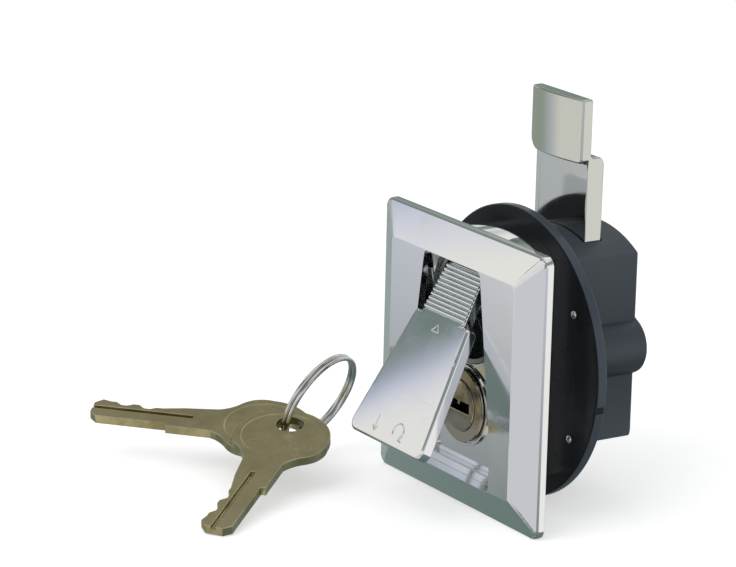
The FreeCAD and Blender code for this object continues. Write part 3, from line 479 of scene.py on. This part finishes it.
pivot = Vector(joints["handle_lift"]["pos_m"])
lift_at_rest = -math.radians(joints["handle_lift"]["range_deg"][0])
lifted = (
    Matrix.Translation(pivot)
    @ Matrix.Rotation(-lift_at_rest, 4, "X")
    @ Matrix.Translation(-pivot)
)
handle_face = -0.0046
plate_top = 0.0059
plate_end = -0.02215
plate_top_half = 0.00955
plate_end_half = 0.01355
handle_crown = 0.00026
crown_cut_across = 0.0015
crown_cut_upward = 0.00165
crown_first_cut = plate_end + 0.0015
on_face = 1e-5
on_cut = 1e-7


def crown_height(x, z):
    """How far the plate's face stands above flat, seen shut."""
    if not plate_end < z < plate_top:
        return 0.0
    down = (plate_top - z) / (plate_top - plate_end)
    half = plate_top_half + (plate_end_half - plate_top_half) * down
    if abs(x) > half:
        return 0.0
    return handle_crown * (1 - (x / half) ** 2) * (1 - (2 * down - 1) ** 2)


def face_near(shape, shut, level):
    """Vertices, edges and faces on the flat front of a part, seen shut."""
    flat = [
        face for face in shape.faces
        if all(abs((shut @ vert.co).y - level) < on_face for vert in face.verts)
    ]
    edges = {edge for face in flat for edge in face.edges}
    verts = {vert for face in flat for vert in face.verts}
    return list(verts) + list(edges) + flat


def raise_face(shape, pose, level, across, upward, height_at):
    """Divides a flat face at the given places and lifts it by height_at(x, z)."""
    shut = pose.inverted()
    turn = pose.to_3x3()
    for places, axis in ((across, Vector((1, 0, 0))), (upward, Vector((0, 0, 1)))):
        for place in places:
            bmesh.ops.bisect_plane(
                shape, geom=face_near(shape, shut, level), dist=on_cut,
                plane_co=pose @ (axis * place + Vector((0, level, 0))), plane_no=turn @ axis,
            )
    for vert in shape.verts:
        flat = shut @ vert.co
        if abs(flat.y - level) < on_face:
            vert.co += turn @ Vector((0, -height_at(flat.x, flat.z), 0))


def crown_plate(shape):
    """The handle's plate gets its slight crown."""
    across = [crown_cut_across * i for i in range(-9, 10)]
    upward = [crown_first_cut + crown_cut_upward * i for i in range(17)]
    raise_face(shape, lifted, handle_face, across, upward, crown_height)


handle_chrome = plated("handle chrome", (0.79, 0.80, 0.82), least=0.09, most=0.17)
finished(
    "handle", "lift_handle", "lever", [handle_chrome],
    rounding=0.00018, reshape=crown_plate,
)


def neck_rib_tree():
    """Rounded ribs across the handle's neck, each a little shorter than the last."""
    group, into, out = new_group(
        "neck ribs",
        [
            ("Ribs", "NodeSocketInt", 11),
            ("Pitch", "NodeSocketFloat", 0.001),
            ("First length", "NodeSocketFloat", 0.015),
            ("Last length", "NodeSocketFloat", 0.013),
            ("Rib half width", "NodeSocketFloat", 0.0004),
            ("Rib height", "NodeSocketFloat", 0.0004),
            ("Material", "NodeSocketMaterial", None),
        ],
        [("Geometry", "NodeSocketGeometry")],
        "GeometryNodeTree",
    )
    step = added(group, "ShaderNodeCombineXYZ", {"Z": into.outputs["Pitch"]})
    ladder = added(group, "GeometryNodeMeshLine", {
        "Count": into.outputs["Ribs"], "Offset": step,
    }, mode="OFFSET")
    rib = added(group, "GeometryNodeMeshCylinder", {
        "Vertices": 20, "Radius": 1.0, "Depth": 1.0,
    })
    length = ranged(
        group, added(group, "GeometryNodeInputIndex"),
        0.0, reckoned(group, "SUBTRACT", into.outputs["Ribs"], 1.0),
        into.outputs["First length"], into.outputs["Last length"],
    )
    size = added(group, "ShaderNodeCombineXYZ", {
        "X": into.outputs["Rib half width"], "Y": into.outputs["Rib height"], "Z": length,
    })
    laid = added(group, "GeometryNodeInstanceOnPoints", {
        "Points": ladder, "Instance": rib, "Rotation": (0, math.pi / 2, 0), "Scale": size,
    })
    end_growth(group, into, out, laid)
    return group


rib_height = 0.00024
rib_sunk = 0.00003
first_rib = 0.007525
ribs = grown(
    "neck_ribs", neck_rib_tree(),
    {
        "Ribs": 11,
        "Pitch": 0.00095,
        "First length": 0.01505,
        "Last length": 0.01325,
        "Rib half width": 0.00041,
        "Rib height": rib_height,
    },
    handle_chrome,
    lifted @ Matrix.Translation((0, handle_face + rib_height - rib_sunk, first_rib)),
)
tips = ribs.modifiers.new("rounded tips", "BEVEL")
tips.width = 0.00010
tips.segments = 2
tips.angle_limit = math.radians(50)
tips.use_clamp_overlap = False
even = ribs.modifiers.new("flat faces stay flat", "WEIGHTED_NORMAL")
even.weight = 100
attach(ribs, "lever")

mark_pen = 0.00019
mark_flattened = 0.6
barb_spread = math.radians(38)
triangle = [(-0.0012, 0.0031), (0.0, 0.0048), (0.0012, 0.0031), (-0.0012, 0.0031)]
lift_tip = (-0.0047, -0.0208)
lift_stem = [(lift_tip[0], -0.0172), lift_tip]
turn_centre = (0.0035, -0.0190)
turn_radius = 0.0018


def arrow_head(x, z, towards, size):
    """The two barbs of an arrow whose tip is at (x, z) and points along towards, an angle."""
    barbs = []
    for side in (-1, 1):
        back = towards + math.pi + side * barb_spread
        barbs.append((x + size * math.cos(back), z + size * math.sin(back)))
    return [barbs[0], (x, z), barbs[1]]


turn_arc = [
    (
        turn_centre[0] + turn_radius * math.cos(math.radians(angle)),
        turn_centre[1] + turn_radius * math.sin(math.radians(angle)),
    )
    for angle in range(-60, 211, 15)
]
strokes = [
    lift_stem,
    arrow_head(*lift_tip, math.radians(-90), 0.0013),
    turn_arc,
    arrow_head(*turn_arc[0], math.radians(-150), 0.0012),
    triangle,
]
pen = bpy.data.curves.new("raised marks", "CURVE")
pen.dimensions = "3D"
pen.bevel_depth = mark_pen
pen.bevel_resolution = 2
pen.use_fill_caps = True
for stroke in strokes:
    line = pen.splines.new("POLY")
    line.points.add(len(stroke) - 1)
    for point, (x, z) in zip(line.points, stroke):
        point.co = (x, 0, z, 1)
drawn = bpy.data.objects.new("raised marks", pen)
bpy.context.scene.collection.objects.link(drawn)
bpy.context.view_layer.update()
marks_mesh = bpy.data.meshes.new_from_object(
    drawn.evaluated_get(bpy.context.evaluated_depsgraph_get())
)
bpy.data.objects.remove(drawn)
for vert in marks_mesh.vertices:
    x, y, z = vert.co
    vert.co = (x, handle_face - crown_height(x, z) + mark_flattened * y, z)
marks_mesh.transform(lifted)
for face in marks_mesh.polygons:
    face.use_smooth = True
marks_mesh.materials.clear()
marks_mesh.materials.append(handle_chrome)
marks = bpy.data.objects.new("raised_arrows", marks_mesh)
bpy.context.scene.collection.objects.link(marks)
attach(marks, "lever")


# Latch bolt. Stamped and machined steel, polished and chromed, with a bowed head. It slides
# in the housing's guides, moved by the crank's pin and pushed out by its spring.

bolt_chrome = plated("bolt chrome", (0.59, 0.61, 0.57), least=0.06, most=0.14)
finished(
    "latch_bolt", "latch_bolt_finished", "bolt", [bolt_chrome],
    rounding=0.0004, steps=4,
)


# Plug. The part of the lock cylinder that the key turns, with its wafers, and the dog that
# its tail swings under the bolt. Its face is turned to a slight dome.

cylinder_z = -0.0088
plug_face = -0.00185
plug_radius = 0.0056
plug_dome = 0.00022
dome_cut = 0.0008
wafer_fit = 0.98


def dome_height(x, z):
    """How far the plug's face stands above flat."""
    away = math.hypot(x, z - cylinder_z) / plug_radius
    return plug_dome * max(0.0, 1 - away ** 2)


def dome_plug(shape):
    """The plug's face gets its dome."""
    across = [dome_cut * i for i in range(-6, 7)]
    upward = [cylinder_z + place for place in across]
    raise_face(shape, Matrix.Identity(4), plug_face, across, upward, dome_height)


def draw_in(shape):
    """The wafers stay just clear of the bore as the plug turns."""
    for vert in shape.verts:
        vert.co.x *= wafer_fit
        vert.co.z = cylinder_z + (vert.co.z - cylinder_z) * wafer_fit


wafer_brass = plated("wafer brass", (0.72, 0.55, 0.26), least=0.2, most=0.35)
finished(
    "key_plug", "turning_plug", "plug", [warm_nickel],
    rounding=0.00015, reshape=dome_plug,
)
finished(
    "wafer_tumblers", "brass_wafers", "plug", [wafer_brass],
    rounding=0.00003, steps=1, reshape=draw_in,
)
coated(["locking_dog", "dog_screw"], zinc_plate)


# Keys. Stamped from brass sheet, nickel plated and then cut, so that the cuts show the brass.
# Handling has dulled the plating and worn its edges bright; their brighter colour is partly a
# painted highlight.

bow_to_hole = 0.0048
bow_line_radius = 0.0088
cuts_from = 0.0225
cut_edge_from = 0.0006


def worn_key_group():
    """Dull plating: patches, a stamped line around the bow, and brighter edges, partly wear and
    partly a painted highlight.
    """
    group, into, out = new_group(
        "worn key plating and edge highlight",
        [
            ("Middle of bow", "NodeSocketVector", (0, 0, 0)),
            ("Bow radius", "NodeSocketFloat", 0.009),
            ("Dull colour", "NodeSocketColor", (0.3, 0.28, 0.2, 1)),
            ("Clean colour", "NodeSocketColor", (0.5, 0.46, 0.34, 1)),
            ("Worn and highlit edge colour", "NodeSocketColor", (0.75, 0.72, 0.6, 1)),
        ],
        [
            ("Colour", "NodeSocketColor"),
            ("Roughness", "NodeSocketFloat"),
            ("Normal", "NodeSocketVector"),
        ],
    )
    place = object_place(group)
    clean = ranged(group, noise(group, place, 140.0, 6.0, 0.6), 0.40, 0.66)
    tint = blended(group, clean, into.outputs["Dull colour"], into.outputs["Clean colour"])
    corner = group.nodes.new("ShaderNodeNewGeometry").outputs["Pointiness"]
    # Brighter edges, partly wear and partly a painted highlight.
    edge = ranged(group, corner, 0.52, 0.60, most=0.8)
    away = reckoned(
        group, "DISTANCE", place, into.outputs["Middle of bow"], kind="ShaderNodeVectorMath"
    )
    in_bow = reckoned(group, "DIVIDE", away, into.outputs["Bow radius"])
    stamped = ranged(group, in_bow, 0.96, 1.0, ease="SMOOTHSTEP")
    dents = noise(group, place, 420.0, 3.0)
    relief = reckoned(group, "MULTIPLY_ADD", dents, 0.22, stamped)
    wired(group, out, {
        "Colour": blended(group, edge, tint, into.outputs["Worn and highlit edge colour"]),
        "Roughness": ranged(group, clean, least=0.34, most=0.20),
        "Normal": bumped(group, relief, 0.5, 0.00012),
    })
    return group


worn_key = worn_key_group()
cut_brass = plated(
    "cut brass", (0.70, 0.55, 0.25), least=0.22, most=0.36,
    smudge=300.0, scratches=0.2, waviness=0.1,
)


def key_plating(name, bow_middle):
    """The plating of one key, with its stamped line about the middle of the bow."""
    material, tree, shader = new_material(name)
    worn = placed_group(tree, worn_key, {
        "Middle of bow": bow_middle,
        "Bow radius": bow_line_radius,
        "Dull colour": (0.36, 0.315, 0.175, 1),
        "Clean colour": (0.57, 0.51, 0.315, 1),
        # The brighter edge colour is partly wear and partly a painted highlight.
        "Worn and highlit edge colour": (0.72, 0.68, 0.52, 1),
    })
    wired(tree, shader, {
        "Base Color": worn.outputs["Colour"],
        "Metallic": 1.0,
        "Roughness": worn.outputs["Roughness"],
        "Normal": worn.outputs["Normal"],
    })
    return material


for node, name, body, joint in (
    ("key_one", "left_key", "first_key", "first_key_swing"),
    ("key_two", "front_key", "second_key", "second_key_swing"),
):
    hole = Vector(joints[joint]["pos_m"])
    square_to_key = Vector(joints[joint]["axis"]).normalized()
    far = max((vert.co - hole for vert in nodes[node].data.vertices), key=lambda v: v.length)
    to_tip = (far - square_to_key * far.dot(square_to_key)).normalized()
    cut_side = to_tip.cross(square_to_key)

    def bare_cuts(shape):
        """The sides of the cuts show brass."""
        for face in shape.faces:
            from_hole = face.calc_center_median() - hole
            along = from_hole.dot(to_tip)
            aside = from_hole.dot(cut_side)
            flat = abs(face.normal.dot(square_to_key)) > 0.5
            if along > cuts_from and aside > cut_edge_from and not flat:
                face.material_index = 1

    plating = key_plating(name + " plating", hole + to_tip * bow_to_hole)
    finished(
        node, name, body, [plating, cut_brass],
        rounding=0.00016, reshape=bare_cuts,
    )


# Split ring. Nearly two turns of bright spring steel wire, wound close on each other, which
# both keys hang on.

ring_steel = plated("ring steel", (0.66, 0.66, 0.64), least=0.07, most=0.16, smudge=300.0)
ring_turns = 1.93
ring_pitch = 0.00106
ring_height = ring_turns * ring_pitch
ring_middle = (-0.03314, -0.01603, -0.01463)
ring_axis = Vector((0.849, 0.348, -0.399)).normalized()
split_ring = grown(
    "split_ring", wound_wire,
    {
        "Radius": 0.01095,
        "Wire radius": 0.0005,
        "Height": ring_height,
        "Turns": ring_turns,
        "Steps in a turn": 120,
    },
    ring_steel,
    Matrix.Translation(ring_middle)
    @ Vector((0, 0, 1)).rotation_difference(ring_axis).to_matrix().to_4x4()
    @ Matrix.Translation((0, 0, -ring_height / 2)),
)
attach(split_ring, "key_set")
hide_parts("key_ring")


# Photographer's table. White paper, soft lamps, and a tent of cards that only the metal sees,
# as they are set round chrome to give it its tones.

def stage_piece(name, shape, material):
    """Something on the table that isn't part of the lock."""
    mesh = bpy.data.meshes.new(name)
    shape.to_mesh(mesh)
    shape.free()
    mesh.materials.append(material)
    piece = bpy.data.objects.new(name, mesh)
    bpy.context.scene.collection.objects.link(piece)
    return piece


floor_height = -0.030
floor_gap = 0.00002
floor_half = 3.0
paper_glow = 0.42
paper, tree, shader = new_material("white paper")
seen = tree.nodes.new("ShaderNodeLightPath").outputs["Is Camera Ray"]
wired(tree, shader, {
    "Base Color": (0.86, 0.86, 0.86, 1),
    "Roughness": 0.9,
    "Specular IOR Level": 0.1,
    "Emission Color": (1, 1, 1, 1),
    "Emission Strength": reckoned(tree, "MULTIPLY", seen, paper_glow),
})
shape = bmesh.new()
bmesh.ops.create_grid(shape, x_segments=1, y_segments=1, size=floor_half)
floor = stage_piece("floor", shape, paper)
floor.location = (0, 0, floor_height - floor_gap)
floor.visible_glossy = False


def ramp(tree, share, stops):
    """A colour that goes through the given stops."""
    node = tree.nodes.new("ShaderNodeValToRGB")
    elements = node.color_ramp.elements
    elements[0].position, elements[0].color = stops[0][0], (*stops[0][1], 1)
    elements[1].position, elements[1].color = stops[-1][0], (*stops[-1][1], 1)
    for place, colour in stops[1:-1]:
        element = elements.new(place)
        element.color = (*colour, 1)
    return wired(tree, node, {"Fac": share}).outputs["Color"]


def card_group():
    """One soft-edged card of the tent, laid over what is behind it."""
    group, into, out = new_group(
        "card",
        [
            ("Azimuth", "NodeSocketFloat", 0.0),
            ("Elevation", "NodeSocketFloat", 0.0),
            ("Middle azimuth", "NodeSocketFloat", 0.0),
            ("Middle elevation", "NodeSocketFloat", 0.0),
            ("Half width", "NodeSocketFloat", 10.0),
            ("Half height", "NodeSocketFloat", 10.0),
            ("Softness", "NodeSocketFloat", 5.0),
            ("Tone", "NodeSocketColor", (1, 1, 1, 1)),
            ("Behind", "NodeSocketColor", (0, 0, 0, 1)),
        ],
        [("Colour", "NodeSocketColor")],
    )
    shares = []
    for angle, middle, half in (
        ("Azimuth", "Middle azimuth", "Half width"),
        ("Elevation", "Middle elevation", "Half height"),
    ):
        apart = reckoned(group, "SUBTRACT", into.outputs[angle], into.outputs[middle])
        edge = reckoned(group, "ADD", into.outputs[half], into.outputs["Softness"])
        shares.append(ranged(
            group, reckoned(group, "ABSOLUTE", apart),
            into.outputs[half], edge, 1.0, 0.0, "SMOOTHSTEP",
        ))
    cover = reckoned(group, "MULTIPLY", *shares)
    wired(group, out, {
        "Colour": blended(group, cover, into.outputs["Behind"], into.outputs["Tone"]),
    })
    return group


card = card_group()
cloth, tree, shader = new_material("tent tones")
tree.nodes.clear()
unit = reckoned(tree, "NORMALIZE", object_place(tree), kind="ShaderNodeVectorMath")
split = tree.nodes.new("ShaderNodeSeparateXYZ")
wired(tree, split, {"Vector": unit})
forward = reckoned(tree, "MULTIPLY", split.outputs["Y"], -1.0)
azimuth = reckoned(tree, "DEGREES", reckoned(tree, "ARCTAN2", split.outputs["X"], forward))
elevation = reckoned(tree, "DEGREES", reckoned(tree, "ARCSINE", split.outputs["Z"]))


def laid_card(behind, middle, rise, half_width, half_height, softness, colour):
    """A card over the tones behind it, with its angles in degrees from the lock's front."""
    return placed_group(tree, card, {
        "Azimuth": azimuth,
        "Elevation": elevation,
        "Middle azimuth": middle,
        "Middle elevation": rise,
        "Half width": half_width,
        "Half height": half_height,
        "Softness": softness,
        "Tone": colour,
        "Behind": behind,
    }).outputs["Colour"]


# The cloth's own tones by elevation in degrees, from the tent's foot to its top.
cloth_bands = (
    (-90.0, (0.12, 0.15, 0.14)),
    (-37.98, (0.175, 0.235, 0.215)),
    (-21.6, (0.25, 0.285, 0.275)),
    (-19.08, (0.33, 0.355, 0.36)),
    (-16.02, (0.47, 0.49, 0.52)),
    (-12.06, (0.60, 0.62, 0.69)),
    (-3.96, (0.66, 0.68, 0.72)),
    (5.94, (0.80, 0.80, 0.80)),
    (12.06, (0.92, 0.905, 0.85)),
    (19.08, (0.92, 0.905, 0.85)),
    (23.94, (0.60, 0.64, 0.70)),
    (30.96, (0.24, 0.29, 0.27)),
    (44.1, (0.24, 0.27, 0.25)),
    (54.0, (0.82, 0.82, 0.81)),
    (90.0, (0.86, 0.86, 0.85)),
)
tone = ramp(
    tree, reckoned(tree, "MULTIPLY_ADD", elevation, 1 / 180, 0.5),
    [(0.5 + rise / 180, colour) for rise, colour in cloth_bands],
)
for middle, rise, half_width, half_height, softness, colour in (
    (-100, -14, 14, 16, 12, (0.33, 0.39, 0.38, 1)),
    (-6, -15, 26, 14, 8, (0.69, 0.69, 0.72, 1)),
    (-35, -6, 12, 4, 12, (0.90, 0.88, 0.84, 1)),
    (127, -8, 26, 16, 8, (1.0, 0.98, 0.95, 1)),
    (-80, -7, 10, 5, 14, (0.40, 0.44, 0.40, 1)),
    (24, -47, 28, 12, 8, (0.70, 0.67, 0.56, 1)),
    (-126, 16, 14, 4, 3, (0.22, 0.285, 0.25, 1)),
    (-146, 42, 20, 20, 5, (0.94, 0.93, 0.91, 1)),
    (-111, 43, 12, 14, 10, (0.34, 0.34, 0.29, 1)),
):
    tone = laid_card(tone, middle, rise, half_width, half_height, softness, colour)

# The card that the handle's plate mirrors goes from dark to light along a slanting line.
grade_lean = 0.93
grade_from = -77.4
grade_width = 10
slant = reckoned(tree, "MULTIPLY_ADD", elevation, -grade_lean, azimuth)
grade = ramp(
    tree, reckoned(tree, "MULTIPLY_ADD", slant, 1 / grade_width, -grade_from / grade_width),
    [
        (0.00, (0.165, 0.220, 0.190)),
        (0.25, (0.22, 0.275, 0.255)),
        (0.50, (0.48, 0.52, 0.66)),
        (0.72, (0.76, 0.78, 0.86)),
        (1.00, (0.94, 0.92, 0.86)),
    ],
)
glow = added(tree, "ShaderNodeEmission", {"Color": laid_card(tone, -58, 17, 14, 10, 5, grade)})
added(tree, "ShaderNodeOutputMaterial", {"Surface": glow})
tent_radius = 0.62
shape = bmesh.new()
bmesh.ops.create_uvsphere(shape, u_segments=64, v_segments=32, radius=tent_radius)
tent = stage_piece("tent", shape, cloth)
tent.visible_camera = False
tent.visible_diffuse = False
tent.visible_transmission = False
tent.visible_shadow = False
tent.visible_volume_scatter = False

lamp_target = Vector((0, 0, 0.005))
for name, size, power, place in (
    ("window lamp", 0.9, 5.0, Vector((0.2, -0.9, 1.0))),
    ("side lamp", 0.7, 2.0, Vector((1.1, -0.2, 0.5))),
):
    bulb = bpy.data.lights.new(name, "AREA")
    bulb.shape = "SQUARE"
    bulb.size = size
    bulb.energy = power
    lamp = bpy.data.objects.new(name, bulb)
    lamp.location = place
    lamp.rotation_mode = "QUATERNION"
    lamp.rotation_quaternion = (lamp_target - place).to_track_quat("-Z", "Y")
    lamp.visible_glossy = False
    bpy.context.scene.collection.objects.link(lamp)

world = bpy.data.worlds.new("studio")
bpy.context.scene.world = world
world.use_nodes = True
tree = world.node_tree
tree.nodes.clear()
rays = tree.nodes.new("ShaderNodeLightPath").outputs
seen = reckoned(tree, "MAXIMUM", rays["Is Camera Ray"], rays["Is Glossy Ray"])
seen = reckoned(tree, "MAXIMUM", seen, rays["Is Transmission Ray"])
white = added(tree, "ShaderNodeBackground", {"Color": (1, 1, 1, 1)})
room = added(tree, "ShaderNodeBackground", {"Color": (0.98, 0.99, 1, 1), "Strength": 0.62})
sky = added(tree, "ShaderNodeMixShader", {"Fac": seen, 1: room, 2: white})
added(tree, "ShaderNodeOutputWorld", {"Surface": sky})


# Camera. It stands in front, to the right and a little above, where the photograph was taken,
# 0.7 m away with a long lens.

camera_azimuth = math.radians(57.505)
camera_elevation = math.radians(15.29)
camera_roll = math.radians(1.365)
camera_place = Vector((0.58124, -0.39534, 0.20899))
picture_width = 736
focal_pixels = 3493.3
toward_camera = Vector((
    math.sin(camera_azimuth) * math.cos(camera_elevation),
    -math.cos(camera_azimuth) * math.cos(camera_elevation),
    math.sin(camera_elevation),
))
level = Vector((math.cos(camera_azimuth), math.sin(camera_azimuth), 0))
upright = toward_camera.cross(level)
right = level * math.cos(camera_roll) + upright * math.sin(camera_roll)
upward = upright * math.cos(camera_roll) - level * math.sin(camera_roll)
lens = bpy.data.cameras.new("camera")
lens.sensor_width = 36
lens.lens = focal_pixels / picture_width * lens.sensor_width
lens.clip_start = 0.05
lens.clip_end = 20
camera = bpy.data.objects.new("camera", lens)
turn = Matrix((right, upward, toward_camera)).transposed().to_4x4()
camera.matrix_world = Matrix.Translation(camera_place) @ turn
bpy.context.scene.collection.objects.link(camera)
bpy.context.scene.camera = camera

bpy.context.scene.view_settings.view_transform = "Standard"
